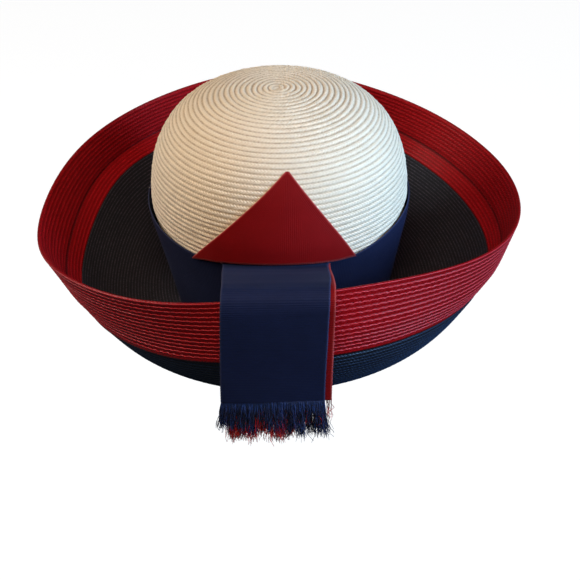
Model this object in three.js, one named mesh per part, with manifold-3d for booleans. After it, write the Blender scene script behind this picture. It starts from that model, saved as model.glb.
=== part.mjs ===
// A straw hat with an ivory domed crown and a deep turned-up brim in navy and red straw. Its trim is
// grosgrain ribbon: a band, a folded point, and two fringed tails that hang over the front rim.
// Millimetres, +Z up. The origin is the centre of the head opening, and -Y is the hat's front.
import * as THREE from "three";
import Module from "manifold-3d";

const wasm = await Module();
wasm.setup();

// Walls and clearances
const STRAW_WALL = 2;
const RIBBON_WALL = 1;
const GAP = 0.3;
const SIDES = 64;

// Crown, outside the straw: an oval at the head opening that grows rounder up to the shoulder, then a dome.
const CROWN = {
  baseHalfWidth: 76,
  baseHalfDepth: 98,
  shoulderHalfWidth: 88,
  shoulderHalfDepth: 93,
  shoulderHeight: 63.5,
  height: 147,
  shiftX: -1.6,
  shiftY: 1,
  riseExponent: 2.83,
  roundExponent: 2.73,
  wallSteps: 3,
  domeSteps: 11,
};

// Brim, through the middle of the straw. Each section gives where the navy floor meets the red border,
// the slopes of the border's shoulder and of its wall, and how far out the floor turns up (a share of
// the way to the border). Angles run from the front round by the hat's +X side.
const BRIM_SECTIONS = [
  { angle: 0, borderOut: 170.7, borderUp: 52.5, shoulderSlope: 86.1, wallSlope: 98.1, floorReach: 0.84 },
  { angle: 30, borderOut: 160.3, borderUp: 47.0, shoulderSlope: 79.9, wallSlope: 95.1, floorReach: 0.86 },
  { angle: 60, borderOut: 149.2, borderUp: 38.4, shoulderSlope: 50.8, wallSlope: 77.6, floorReach: 0.79 },
  { angle: 90, borderOut: 144.9, borderUp: 34.3, shoulderSlope: 48.0, wallSlope: 70.5, floorReach: 0.66 },
  { angle: 120, borderOut: 149.1, borderUp: 32.6, shoulderSlope: 45.0, wallSlope: 75.8, floorReach: 0.68 },
  { angle: 150, borderOut: 163.1, borderUp: 38.5, shoulderSlope: 77.7, wallSlope: 94.5, floorReach: 0.76 },
  { angle: 180, borderOut: 164.0, borderUp: 51.7, shoulderSlope: 68.6, wallSlope: 107.4, floorReach: 0.78 },
  { angle: 210, borderOut: 159.3, borderUp: 44.5, shoulderSlope: 42.0, wallSlope: 92.8, floorReach: 0.7 },
  { angle: 240, borderOut: 147.5, borderUp: 39.8, shoulderSlope: 25.5, wallSlope: 78.6, floorReach: 0.6 },
  { angle: 270, borderOut: 143.0, borderUp: 24.7, shoulderSlope: 44.9, wallSlope: 54.5, floorReach: 0.62 },
  { angle: 300, borderOut: 149.0, borderUp: 26.5, shoulderSlope: 46.0, wallSlope: 67.5, floorReach: 0.79 },
  { angle: 330, borderOut: 161.2, borderUp: 38.8, shoulderSlope: 75.7, wallSlope: 78.1, floorReach: 0.86 },
];
const BRIM = {
  floorSlope: -4.7,
  shoulderLength: 13.6,
  wallLength: 28.8,
  floorSteps: 7,
  shoulderSteps: 2,
  wallSteps: 3,
};

// Band: a ribbon round the foot of the crown, a little higher on the +X side. Its top edge rises at both
// sides, and stands away from the crown there.
const BAND = {
  foot: STRAW_WALL / 2 + GAP,
  frontTop: 62.3,
  tilt: 2.3,
  sideRise: 9.5,
  standOff: 2.4,
  standOffTurn: 0.6,
  steps: 4,
};

// Tails, one on top of the other. The path is the middle of the lower one, from its end under the point,
// out over the brim, and down outside the rim. hug is how far the ribbon follows the crown's curve, and
// where it follows it, it also drops towards the sides by a share of how far the crown falls back.
// Each tail swings aside half way along, and takes its end's width over the stretch of its easing.
const SIDE_DROP = 0.42;
const TAIL_PATH = [
  { out: 92.9, up: 77.5, hug: 1 },
  { out: 92.9, up: 71.5, hug: 1 },
  { out: 94.2, up: 67.8, hug: 1 },
  { out: 97.6, up: 66.8, hug: 0.98 },
  { out: 112.0, up: 73.8, hug: 0.7 },
  { out: 130.0, up: 83.0, hug: 0.32 },
  { out: 148.0, up: 91.2, hug: 0.08 },
  { out: 159.0, up: 95.9, hug: 0 },
  { out: 166.0, up: 97.2, hug: 0 },
  { out: 170.6, up: 95.2, hug: 0 },
  { out: 172.9, up: 90.0, hug: 0 },
  { out: 173.5, up: 83.0, hug: 0.02 },
  { out: 173.5, up: 55.0, hug: 0.1 },
  { out: 173.5, up: 23.0, hug: 0.2 },
];
const TAIL_STEPS = 2;
const TAIL_COLUMNS = 6;
const TAIL_STACK = RIBBON_WALL + GAP;
const TAIL_EASING = { from: 0.25, to: 0.6 };
const RED_TAIL = { startCentre: -1.3, startWidth: 64.4, endCentre: -2.2, endWidth: 63.4, swing: 2.4, layer: 0 };
const NAVY_TAIL = { startCentre: -5.1, startWidth: 66.6, endCentre: -5.5, endWidth: 62, swing: 3.6, layer: 1 };

// Fringe at each tail's end: a strip of ribbon with locks of loose threads below it.
// A lock's widths at its root and tip are shares of its pitch, and its length and lean vary in waves.
const FRINGE_HEAD = 4;
const LOCK = { rootOverlap: 2, rootShare: 0.92, tipShare: 0.45, lengthWave: 2.4, leanWave: 1.7 };
const NAVY_FRINGE = { locks: 13, shortest: 17, longest: 23, spread: 3, tail: NAVY_TAIL };
const RED_FRINGE = { locks: 13, shortest: 21, longest: 29, spread: 2.5, tail: RED_TAIL };

// Point: a ribbon folded to a triangle, wrapped on the crown, that covers the ends of the tails.
// Its corners are given along the crown's curve from its middle.
const POINT = {
  leftAlong: -59.3,
  rightAlong: 50.5,
  tipAlong: 5.7,
  tipUp: 125.7,
  tipWidth: 2.4,
  baseUp: 70.1,
  leftDrop: SIDE_DROP,
  rightDrop: 0.25,
  edgeBow: 2.5,
  overBand: 2.4,
  overTails: 2 * TAIL_STACK + 2 * GAP,
  liftMargin: 3,
  liftWidth: 10,
  liftTop: 104,
  columns: 12,
  rows: 9,
};

const COLOURS = {
  ivory: 0xe6ddcb,
  navyStraw: 0x151722,
  redStraw: 0xa0101f,
  navyRibbon: 0x161d40,
  redRibbon: 0x861018,
};

const smooth = (from, to, value) => THREE.MathUtils.smoothstep(value, from, to);
const mix = THREE.MathUtils.lerp;
const radians = THREE.MathUtils.degToRad;

// Half sizes and centre of the crown's oval at a height.
function crownRing(up) {
  const wall = up / CROWN.shoulderHeight;
  const rise = Math.max(0, (up - CROWN.shoulderHeight) / (CROWN.height - CROWN.shoulderHeight));
  const share = (1 - rise ** CROWN.riseExponent) ** (1 / CROWN.roundExponent);
  const low = Math.min(wall, 1);
  return {
    halfWidth: share * mix(CROWN.baseHalfWidth, CROWN.shoulderHalfWidth, low),
    halfDepth: share * mix(CROWN.baseHalfDepth, CROWN.shoulderHalfDepth, low),
    x: CROWN.shiftX * Math.max(low, 0),
    y: CROWN.shiftY * Math.max(low, 0),
  };
}

// A point at an angle and height on the crown, or standing out from it.
function onCrown(angle, up, standOut = 0) {
  const ring = crownRing(up);
  const x = ring.x + (ring.halfWidth + standOut) * Math.sin(angle);
  const y = ring.y - (ring.halfDepth + standOut) * Math.cos(angle);
  return new THREE.Vector3(x, y, up);
}

const anglesRound = Array.from({ length: SIDES }, (_, i) => (2 * Math.PI * i) / SIDES);

// Unit normals of a grid of points. Rows may close round, or close up to a tip.
function gridNormals(rows, { round = false, tip = null } = {}) {
  return rows.map((row, j) =>
    row.map((point, i) => {
      const last = row.length - 1;
      const before = row[i > 0 ? i - 1 : round ? last : 0];
      const after = row[i < last ? i + 1 : round ? 0 : last];
      const below = j > 0 ? rows[j - 1][i] : point;
      const above = j < rows.length - 1 ? rows[j + 1][i] : tip ?? point;
      const across = after.clone().sub(before);
      return across.cross(above.clone().sub(below)).normalize();
    }),
  );
}

// The closed solid between two distances along a grid's normals.
function thicken(rows, normals, inside, outside, { round = false, tip = null } = {}) {
  const columns = rows[0].length;
  const count = rows.length * columns + (tip ? 1 : 0);
  const positions = [];
  for (const distance of [outside, inside]) {
    rows.forEach((row, j) =>
      row.forEach((point, i) => positions.push(...point.clone().addScaledVector(normals[j][i], distance))),
    );
    if (tip) positions.push(tip.x, tip.y, tip.z + distance);
  }
  const index = [];
  const outer = (j, i) => j * columns + (i % columns);
  const inner = (j, i) => count + outer(j, i);
  const quad = (a, b, c, d) => index.push(a, b, c, a, c, d);
  const spans = round ? columns : columns - 1;
  const top = rows.length - 1;
  for (let i = 0; i < spans; i++) {
    for (let j = 0; j < top; j++) {
      quad(outer(j, i), outer(j, i + 1), outer(j + 1, i + 1), outer(j + 1, i));
      quad(inner(j, i), inner(j + 1, i), inner(j + 1, i + 1), inner(j, i + 1));
    }
    quad(outer(0, i + 1), outer(0, i), inner(0, i), inner(0, i + 1));
    if (tip) {
      index.push(outer(top, i), outer(top, i + 1), count - 1);
      index.push(inner(top, i + 1), inner(top, i), 2 * count - 1);
    } else {
      quad(outer(top, i), outer(top, i + 1), inner(top, i + 1), inner(top, i));
    }
  }
  for (let j = 0; !round && j < top; j++) {
    quad(outer(j, 0), outer(j + 1, 0), inner(j + 1, 0), inner(j, 0));
    quad(outer(j + 1, spans), outer(j, spans), inner(j, spans), inner(j + 1, spans));
  }
  const geometry = new THREE.BufferGeometry();
  geometry.setAttribute("position", new THREE.Float32BufferAttribute(positions, 3));
  geometry.setIndex(index);
  geometry.computeVertexNormals();
  return geometry;
}

// The crown's rows rise evenly up the wall, and then by equal turns over the dome to its tip.
function crownGeometry() {
  const heights = [];
  for (let k = 0; k < CROWN.wallSteps; k++) {
    heights.push(mix(-STRAW_WALL / 2, CROWN.shoulderHeight, k / CROWN.wallSteps));
  }
  for (let k = 0; k < CROWN.domeSteps; k++) {
    const turn = Math.sin((Math.PI / 2) * (k / CROWN.domeSteps)) ** (2 / CROWN.riseExponent);
    heights.push(mix(CROWN.shoulderHeight, CROWN.height, turn));
  }
  const rows = heights.map((up) => anglesRound.map((angle) => onCrown(angle, up)));
  const tip = new THREE.Vector3(CROWN.shiftX, CROWN.shiftY, CROWN.height);
  const form = { round: true, tip };
  return thicken(rows, gridNormals(rows, form), -STRAW_WALL, 0, form);
}

// A column of the section table at any angle, by the smoothest wave through the sections.
function brimValue(column, angle) {
  const count = BRIM_SECTIONS.length;
  return BRIM_SECTIONS.reduce((sum, section) => {
    const turn = angle - radians(section.angle);
    const half = Math.sin(turn / 2);
    const near = Math.abs(half) < 1e-9;
    const weight = near ? 1 : (Math.sin((count * turn) / 2) * Math.cos(turn / 2)) / (count * half);
    return sum + section[column] * weight;
  }, 0);
}

// The brim's profile at an angle, as points (out, up) from the head opening to the rim.
function brimProfile(angle) {
  const headline = onCrown(angle, 0, GAP + STRAW_WALL * Math.sin(radians(-BRIM.floorSlope)));
  const inner = new THREE.Vector2(Math.hypot(headline.x, headline.y), 0);
  const border = new THREE.Vector2(brimValue("borderOut", angle), brimValue("borderUp", angle));
  const reach = (border.x - inner.x) * brimValue("floorReach", angle);
  const turn = new THREE.Vector2(inner.x + reach, reach * Math.tan(radians(BRIM.floorSlope)));
  const slopeStep = (from, slope, length) =>
    new THREE.Vector2(Math.cos(radians(slope)), Math.sin(radians(slope))).multiplyScalar(length).add(from);
  const crease = slopeStep(border, brimValue("shoulderSlope", angle), BRIM.shoulderLength);
  const rim = slopeStep(crease, brimValue("wallSlope", angle), BRIM.wallLength);
  return [
    ...new THREE.QuadraticBezierCurve(inner, turn, border).getPoints(BRIM.floorSteps),
    ...new THREE.LineCurve(border, crease).getPoints(BRIM.shoulderSteps).slice(1),
    ...new THREE.LineCurve(crease, rim).getPoints(BRIM.wallSteps).slice(1),
  ];
}

// The navy floor and the red border meet at a seam with half a gap taken from each.
function brimGeometries() {
  const profiles = anglesRound.map(brimProfile);
  const rows = profiles[0].map((_, j) =>
    profiles.map((profile, i) => {
      const { x: out, y: up } = profile[j];
      return new THREE.Vector3(out * Math.sin(anglesRound[i]), -out * Math.cos(anglesRound[i]), up);
    }),
  );
  const form = { round: true };
  const normals = gridNormals(rows, form);
  const seam = BRIM.floorSteps;
  const towards = (row, target) =>
    row.map((point, i) => point.clone().add(target[i].clone().sub(point).setLength(GAP / 2)));
  const navy = [...rows.slice(0, seam), towards(rows[seam], rows[seam - 1])];
  const red = [towards(rows[seam], rows[seam + 1]), ...rows.slice(seam + 1)];
  return {
    navy: thicken(navy, normals.slice(0, seam + 1), -STRAW_WALL / 2, STRAW_WALL / 2, form),
    red: thicken(red, normals.slice(seam), -STRAW_WALL / 2, STRAW_WALL / 2, form),
  };
}

function bandGeometry() {
  const rows = Array.from({ length: BAND.steps + 1 }, (_, k) =>
    anglesRound.map((angle) => {
      const share = k / BAND.steps;
      const side = Math.sin(angle);
      const top = BAND.frontTop + BAND.tilt * side + BAND.sideRise * side ** 2;
      const standOut = (BAND.standOff - BAND.standOffTurn * side) * (side * share) ** 2;
      return onCrown(angle, mix(BAND.foot, top, share), standOut);
    }),
  );
  const form = { round: true };
  return thicken(rows, gridNormals(rows, form), GAP, GAP + RIBBON_WALL, form);
}

// How far the crown's front falls back at a distance to the side of its middle.
function crownFallBack(x) {
  const side = THREE.MathUtils.clamp((x - CROWN.shiftX) / CROWN.shoulderHalfWidth, -1, 1);
  return CROWN.shoulderHalfDepth * (1 - Math.sqrt(1 - side ** 2));
}

// The tails' shared path as a smooth curve: x holds hug, y the distance out, z the height.
const tailCurve = new THREE.CatmullRomCurve3(
  TAIL_PATH.map(({ out, up, hug }) => new THREE.Vector3(hug, out, up)),
);

// The lower tail's middle at a distance to the side, for a row of its path.
function onTail(x, { hug, out, up }) {
  const fallBack = hug * crownFallBack(x);
  return new THREE.Vector3(x, fallBack - out, up - SIDE_DROP * fallBack);
}

function tailGeometry(tail) {
  const steps = TAIL_STEPS * (TAIL_PATH.length - 1);
  const rows = tailCurve.getPoints(steps).map(({ x: hug, y: out, z: up }, k) => {
    const share = k / steps;
    const aside = tail.swing * Math.sin(Math.PI * share) ** 2;
    const centre = mix(tail.startCentre, tail.endCentre, share) + aside;
    const width = mix(tail.startWidth, tail.endWidth, smooth(TAIL_EASING.from, TAIL_EASING.to, share));
    return Array.from({ length: TAIL_COLUMNS + 1 }, (_, i) => {
      return onTail(centre + width * (0.5 - i / TAIL_COLUMNS), { hug, out, up });
    });
  });
  const inside = tail.layer * TAIL_STACK - RIBBON_WALL / 2;
  return thicken(rows, gridNormals(rows), inside, inside + RIBBON_WALL);
}

// Joins closed geometries into one solid.
function fuse(geometries) {
  const solids = geometries.map((geometry) => {
    const vertProperties = new Float32Array(geometry.getAttribute("position").array);
    const triVerts = new Uint32Array(geometry.getIndex().array);
    return new wasm.Manifold(new wasm.Mesh({ numProp: 3, vertProperties, triVerts }));
  });
  const mesh = solids.reduce((joined, solid) => joined.add(solid)).getMesh();
  const geometry = new THREE.BufferGeometry();
  geometry.setAttribute("position", new THREE.BufferAttribute(mesh.vertProperties, 3));
  geometry.setIndex(new THREE.BufferAttribute(mesh.triVerts, 1));
  geometry.computeVertexNormals();
  return geometry;
}

// The tail's end carries on straight down as a head strip, and locks of uneven length fan out from it.
function fringeGeometry({ locks, shortest, longest, spread, tail }) {
  const end = TAIL_PATH.at(-1);
  const top = end.up - GAP;
  const foot = top - FRINGE_HEAD;
  const left = tail.endCentre - tail.endWidth / 2;
  const pitch = tail.endWidth / locks;
  const out = end.out + tail.layer * TAIL_STACK;
  const strip = (corners) => {
    const rows = corners.map((row) => row.map(({ x, up }) => onTail(x, { hug: end.hug, out, up })));
    return thicken(rows, gridNormals(rows), -RIBBON_WALL / 2, RIBBON_WALL / 2);
  };
  const level = (up) => Array.from({ length: locks + 1 }, (_, i) => ({ x: left + i * pitch, up }));
  const pieces = [strip([level(foot), level(top)])];
  for (let i = 0; i < locks; i++) {
    const unevenness = (1 + Math.sin(LOCK.lengthWave * i + tail.layer)) / 2;
    const length = mix(shortest, longest, unevenness);
    const middle = left + (i + 0.5) * pitch;
    const lean = spread * (Math.cos(LOCK.leanWave * i) + (2 * (i + 0.5)) / locks - 1);
    const across = (x, share, up) => [
      { x: x - (share * pitch) / 2, up },
      { x: x + (share * pitch) / 2, up },
    ];
    const tip = across(middle + lean, LOCK.tipShare, foot - length);
    const root = across(middle, LOCK.rootShare, foot + LOCK.rootOverlap);
    pieces.push(strip([tip, root]));
  }
  return fuse(pieces);
}

// The point's rows rise from its base to its tip. Its base stands out over the band and the tails.
function pointGeometry() {
  const rows = Array.from({ length: POINT.rows + 1 }, (_, j) => {
    const rise = j / POINT.rows;
    const bow = POINT.edgeBow * 4 * rise * (1 - rise);
    const from = mix(POINT.leftAlong, POINT.tipAlong - POINT.tipWidth / 2, rise) - bow;
    const to = mix(POINT.rightAlong, POINT.tipAlong + POINT.tipWidth / 2, rise) + bow;
    return Array.from({ length: POINT.columns + 1 }, (_, i) => {
      const share = i / POINT.columns;
      const foot = acrossCrown(mix(POINT.leftAlong, POINT.rightAlong, share));
      const base = POINT.baseUp - mix(POINT.leftDrop, POINT.rightDrop, share) * crownFallBack(foot);
      return pointOnCrown(mix(from, to, share), mix(base, POINT.tipUp, rise));
    });
  });
  return thicken(rows, gridNormals(rows), GAP, GAP + RIBBON_WALL);
}

// The distance to the side, for a distance along the crown's curve.
function acrossCrown(along) {
  return onCrown(along / CROWN.shoulderHalfWidth, CROWN.shoulderHeight).x;
}

function pointOnCrown(along, up) {
  const beside = Math.abs(acrossCrown(along) - NAVY_TAIL.startCentre) - NAVY_TAIL.startWidth / 2;
  const overTails = 1 - smooth(POINT.liftMargin, POINT.liftMargin + POINT.liftWidth, beside);
  const fade = 1 - smooth(TAIL_PATH[0].up, POINT.liftTop, up);
  const standOut = fade * mix(POINT.overBand, POINT.overTails, overTails);
  return onCrown(along / crownRing(up).halfWidth, up, standOut);
}

function piece(name, geometry, color, roughness) {
  const mesh = new THREE.Mesh(geometry, new THREE.MeshStandardMaterial({ color, roughness, metalness: 0 }));
  mesh.name = name;
  return mesh;
}

const STRAW_ROUGHNESS = 0.5;
const RIBBON_ROUGHNESS = 0.75;
const brim = brimGeometries();
const hat = new THREE.Group();
hat.name = "straw_hat";

const straw = new THREE.Group();
straw.add(piece("crown", crownGeometry(), COLOURS.ivory, STRAW_ROUGHNESS));
straw.add(piece("brim_floor", brim.navy, COLOURS.navyStraw, STRAW_ROUGHNESS));
straw.add(piece("brim_border", brim.red, COLOURS.redStraw, STRAW_ROUGHNESS));
hat.add(straw);

const trim = new THREE.Group();
trim.add(piece("crown_band", bandGeometry(), COLOURS.navyRibbon, RIBBON_ROUGHNESS));
trim.add(piece("ribbon_point", pointGeometry(), COLOURS.redRibbon, RIBBON_ROUGHNESS));
trim.add(piece("tail_navy", tailGeometry(NAVY_TAIL), COLOURS.navyRibbon, RIBBON_ROUGHNESS));
trim.add(piece("tail_red", tailGeometry(RED_TAIL), COLOURS.redRibbon, RIBBON_ROUGHNESS));
trim.add(piece("fringe_navy", fringeGeometry(NAVY_FRINGE), COLOURS.navyRibbon, RIBBON_ROUGHNESS));
trim.add(piece("fringe_red", fringeGeometry(RED_FRINGE), COLOURS.redRibbon, RIBBON_ROUGHNESS));
hat.add(trim);

export default hat;
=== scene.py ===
"""A straw hat with a turned-up brim and grosgrain trim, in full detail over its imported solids.

Sizes are in millimetres in the hat's own frame, and become metres where a mesh is made.
Angles run from the hat's front, -Y, round by its +X side.
"""

import bpy
import numpy as np
from mathutils import Matrix


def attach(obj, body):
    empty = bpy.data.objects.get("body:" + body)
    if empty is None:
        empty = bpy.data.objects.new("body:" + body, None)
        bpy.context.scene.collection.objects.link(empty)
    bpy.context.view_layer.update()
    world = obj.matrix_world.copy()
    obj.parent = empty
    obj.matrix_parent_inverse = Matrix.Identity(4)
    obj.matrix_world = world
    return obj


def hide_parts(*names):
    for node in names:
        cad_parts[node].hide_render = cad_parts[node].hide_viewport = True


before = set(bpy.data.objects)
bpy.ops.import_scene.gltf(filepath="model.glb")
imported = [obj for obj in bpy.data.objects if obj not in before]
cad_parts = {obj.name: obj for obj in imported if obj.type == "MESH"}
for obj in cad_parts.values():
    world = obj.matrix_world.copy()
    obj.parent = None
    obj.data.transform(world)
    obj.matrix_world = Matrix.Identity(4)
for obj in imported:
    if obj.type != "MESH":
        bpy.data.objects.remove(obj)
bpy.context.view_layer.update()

MM = 0.001
TURN = 2 * np.pi

# Form of the hat, as in its solids
STRAW_WALL = 2.0
GAP = 0.3
BASE_HALF_WIDTH, BASE_HALF_DEPTH = 76.0, 98.0
SHOULDER_HALF_WIDTH, SHOULDER_HALF_DEPTH = 88.0, 93.0
SHOULDER_UP, CROWN_UP = 63.5, 147.0
CROWN_SHIFT_X, CROWN_SHIFT_Y = -1.6, 1.0
RISE_EXPONENT, ROUND_EXPONENT = 2.83, 2.73
DOME_SAMPLES, CROWN_WALL_SAMPLES = 800, 200

# Brim sections every 30 degrees from the front
BORDER_OUT = (170.7, 160.3, 149.2, 144.9, 149.1, 163.1, 164.0, 159.3, 147.5, 143.0, 149.0, 161.2)
BORDER_RISE = (52.5, 47.0, 38.4, 34.3, 32.6, 38.5, 51.7, 44.5, 39.8, 24.7, 26.5, 38.8)
SHOULDER_SLOPE = (86.1, 79.9, 50.8, 48.0, 45.0, 77.7, 68.6, 42.0, 25.5, 44.9, 46.0, 75.7)
WALL_SLOPE = (98.1, 95.1, 77.6, 70.5, 75.8, 94.5, 107.4, 92.8, 78.6, 54.5, 67.5, 78.1)
FLOOR_REACH = (0.84, 0.86, 0.79, 0.66, 0.68, 0.76, 0.78, 0.70, 0.60, 0.62, 0.79, 0.86)
FLOOR_SLOPE = -4.7
SHOULDER_LENGTH, WALL_LENGTH = 13.6, 28.8
# The floor's curve is carried on a little past its inner edge
FLOOR_CURVE_FROM, FLOOR_CURVE_SAMPLES = -0.05, 85

# Ribbon trim: the form of its solids, and small departures of soft ribbon
BAND_FOOT, BAND_FRONT_TOP, BAND_TILT, BAND_SIDE_RISE = 1.3, 62.3, 2.3, 9.5
BAND_STAND_OFF, BAND_STAND_OFF_TURN, BAND_STAND_OFF_SHIFT, BAND_STAND_OFF_POWER = 2.4, 0.6, 0.3, 1.5
BAND_OFF_CROWN, BAND_SLACK = 0.55, 0.35
# A looser stretch of the band's top edge: angle, height and width
BAND_LOOSE_AT, BAND_LOOSE, BAND_LOOSE_WIDTH = 4.22, 3.2, 0.3
# Small rises of the band's top edge on both sides of the tails: angle and height
BAND_LIFTS = ((0.37, 2.4), (TURN - 0.48, 1.7))
BAND_LIFT_WIDTH = 0.12
SIDE_DROP = 0.42
TAIL_STACK = 1.3
# Columns: hug, out, up
TAIL_PATH = np.array([
    (1.00, 92.9, 77.5),
    (1.00, 92.9, 71.5),
    (1.00, 94.2, 68.3),
    (0.98, 97.6, 67.4),
    (0.70, 112.0, 73.8),
    (0.32, 130.0, 83.0),
    (0.08, 148.0, 91.2),
    (0.00, 159.0, 95.9),
    (0.00, 166.0, 97.2),
    (0.00, 170.6, 95.2),
    (0.00, 172.9, 90.0),
    (0.02, 173.5, 83.0),
    (0.10, 173.5, 55.0),
    (0.20, 173.5, 23.0),
])
TAIL_EASING = (0.25, 0.6)
# A slight wave of the tails: height, length along, turn for each mm across, and where it grows
TAIL_SWAY, TAIL_SWAY_LENGTH, TAIL_SWAY_ACROSS, TAIL_SWAY_GROWS = 0.35, 61.0, 0.05, (60.0, 110.0)
NAVY_TAIL = dict(start_centre=-3.6, start_width=67.0, end_centre=-5.8, end_width=62.0, swing=2.0, layer=1)
RED_TAIL = dict(start_centre=-1.0, start_width=64.4, end_centre=-2.2, end_width=63.4, swing=1.2, layer=0)
POINT_LEFT, POINT_RIGHT, POINT_TIP = -59.3, 50.5, 5.7
POINT_TIP_UP, POINT_TIP_WIDTH, POINT_BASE_UP, POINT_BOW = 125.7, 2.4, 70.1, 2.5
POINT_LEFT_DROP, POINT_RIGHT_DROP = 0.38, 0.25
POINT_OVER_BAND, POINT_OVER_TAILS = 2.4, 3.2
POINT_LIFT_MARGIN, POINT_LIFT_WIDTH, POINT_LIFT_TOP = 3.0, 10.0, 104.0
# Radius of the folded sides, and shares of half the width in a flap and of the thickness in half a layer
POINT_FOLD, POINT_FLAP, POINT_THIN = 0.28, 0.99, 0.4
# Teeth of the cut base, and the places across between which they grow
POINT_TEETH, POINT_TEETH_GROW = 0.35, (10.0, 25.0)
# Share of the ribs' depth, where they end below the tip, and how wide the painted highlights along the sides
# and base are
POINT_RIBS, POINT_TIP_PLAIN, POINT_SIDE_HIGHLIGHT, POINT_BASE_HIGHLIGHT = 0.6, 0.06, 0.6, 0.012
POINT_PATTERN_UP = 60.0

# Sewn straw braid: rows, and how finely each row is meshed
PLAIT = 4.5
CROWN_ROWS, CROWN_COLUMNS, CROWN_FINE, CROWN_INSIDE_FINE = 60, 234, 5, 2
# The rows get narrower from the top to the sides: lengths from the tip, and the pitch there
CROWN_PITCH_AT, CROWN_PITCH = (55.0, 80.0), (3.6, 3.2)
FLOOR_ROWS, FLOOR_COLUMNS, FLOOR_GIRTH_SAMPLES = 34, 470, 90
SHOULDER_ROWS, WALL_ROWS = 5, 9
BORDER_COLUMNS, BORDER_PLAITS = 800, 200
CREASE_SOFT_OUTSIDE, CREASE_SOFT_INSIDE = 1.2, 0.03
# Height of the inner face above the wall's middle before, at and after the crease
CREASE_HEIGHTS = (0.6, 0.1, 0.7)
CROWN_PROUD, CROWN_UNDER_BAND = 1.1, -1.0
# Heights below and above the band's top edge between which the crown's rows rise
CROWN_FLAT_BELOW, CROWN_FREE_ABOVE = 6.0, 2.0
# Rows at the tip where the braid grows, and at both ends of the spiral where it runs true
CROWN_TIP_ROWS, CROWN_TRUE_ROWS = 1.5, 3.0
# Slow waves of the crown's rows, along the crown in rows and off it
# Columns: size, waves round the crown, turn for each row, phase
CROWN_WANDER = ((0.05, 3, 0.9, 0.0), (0.04, 5, -1.7, 1.3))
CROWN_SWELL = ((0.10, 2, 0.31, 0.0), (0.07, 7, 2.3, 0.0))
CROWN_UNEVEN = 0.13
BRAID_DEPTH, BRAID_INSIDE_DEPTH = 0.8, 0.6
RIDGE_LEAN, RIDGE_FULL = 0.85, 0.7
BRIM_PROUD = 1.1
SCALLOP, RIM_SCALLOP = 0.2, 0.1
ROW_SWELL, ROW_SWELL_WAVES = 0.016, 6
STRAND_LIFT, STRAND_SLANT = 0.06, 0.4
# Near and far edges of a brim piece: heights of its outer and inner faces, and rows further
FLOOR_EDGES = (((0.2, 0.35), 0.7), ((0.3, 0.5), 0.0))
BORDER_EDGES = (((0.75, 0.75), 0.25), ((0.16, 0.27), 0.05))
# How far the floor dips under the border, and the rows from its end between which it does
FLOOR_SINK, SINK_FROM, SINK_TO = 0.7, 2.0, 0.5
CROWN_TINT_SEED, CROWN_UNEVEN_SEED, FLOOR_SEED, BORDER_SEED = 3, 4, 11, 12
# Where the border laps further down over the floor: from and to angles, and rows
LAP_FROM, LAP_TO, LAP_EASE, LAP = 4.75, 6.28, 0.5, 0.8
# Rows of the floor for each row of the border, how far a lapped row and the edge lie over the floor,
# and the rows over which the edge rises and between which the lap fades
LAP_SCALE, LAP_LIFT, LAP_EDGE_LIFT, LAP_EDGE_ROWS, LAP_FADE = 1.1, 0.6, 0.3, 0.25, (-0.2, 3.0)
# How much a hollow seam of floor and border is rounded out, for each radian of its bend, and how widely
SEAM_ROUND, SEAM_ROUND_WIDTH = 4.2, 9.0
# Cosines of the angles between which that fades out towards the back
SEAM_ROUND_FADE = (-0.3, 0.2)
# Sections of a brim row from the head to the rim
# Columns: place across the row, height, share of the scallop
SHINGLE = np.array([(0.0, 0.0, 0.6), (0.2, 0.55, 0.2), (0.72, 0.6, 1.0), (0.86, 1.0, 1.0), (0.96, 0.7, 1.0)])
FINE_SHINGLE = np.array([(0.0, 0.0, 0.4), (0.2, 0.55, 0.0), (0.72, 0.7, 0.3), (0.88, 1.0, 0.4)])
LOW_RIDGE = np.array([(0.0, 0.0, 0.3), (0.3, 1.0, 0.0), (0.75, 1.0, 0.0)])
FINE_RIDGE = np.array([(0.0, 0.0, 0.3), (0.5, 1.0, 0.0)])
SHINGLE_DEPTH, LOW_RIDGE_DEPTH = 0.75, 0.5

# Added to the tint of a row's inner face, and to the rows before and after the crease on it, which get a
# painted shade along the crease
INSIDE = 2.0
BEFORE_CREASE_SHADE, AFTER_CREASE_SHADE = 3.0, 6.0

# Grosgrain ribbon
RIBBON_WIDTH, RIBBON_THICK = 64.0, 0.62
RIB, RIB_SAMPLES, RIB_DEPTH = 1.25, 4, 0.11
PICOT = 0.22
# Extra columns near both edges: shares of a margin, and the margin
EDGE_COLUMNS, EDGE_MARGIN = (0.0, 0.15, 0.4, 1.0), 1.2
# How widely an edge is rounded and how thin it gets, as shares of the thickness
EDGE_ROUND, EDGE_THIN = 0.8, 0.35
# Where the ribs' relief starts outside an edge and is full, and where the painted highlight along an edge
# fades
RIBS_START, RIBS_FULL, EDGE_HIGHLIGHT_FADE = 0.1, 0.8, (0.1, 1.1)
BAND_ROWS, TAIL_COLUMNS, TAIL_SPAN_STEPS = 10, 16, 40
POINT_FRONT_COLUMNS, POINT_BACK_COLUMNS, POINT_FOLD_COLUMNS, POINT_ROWS = 364, 26, 7, 34

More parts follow.
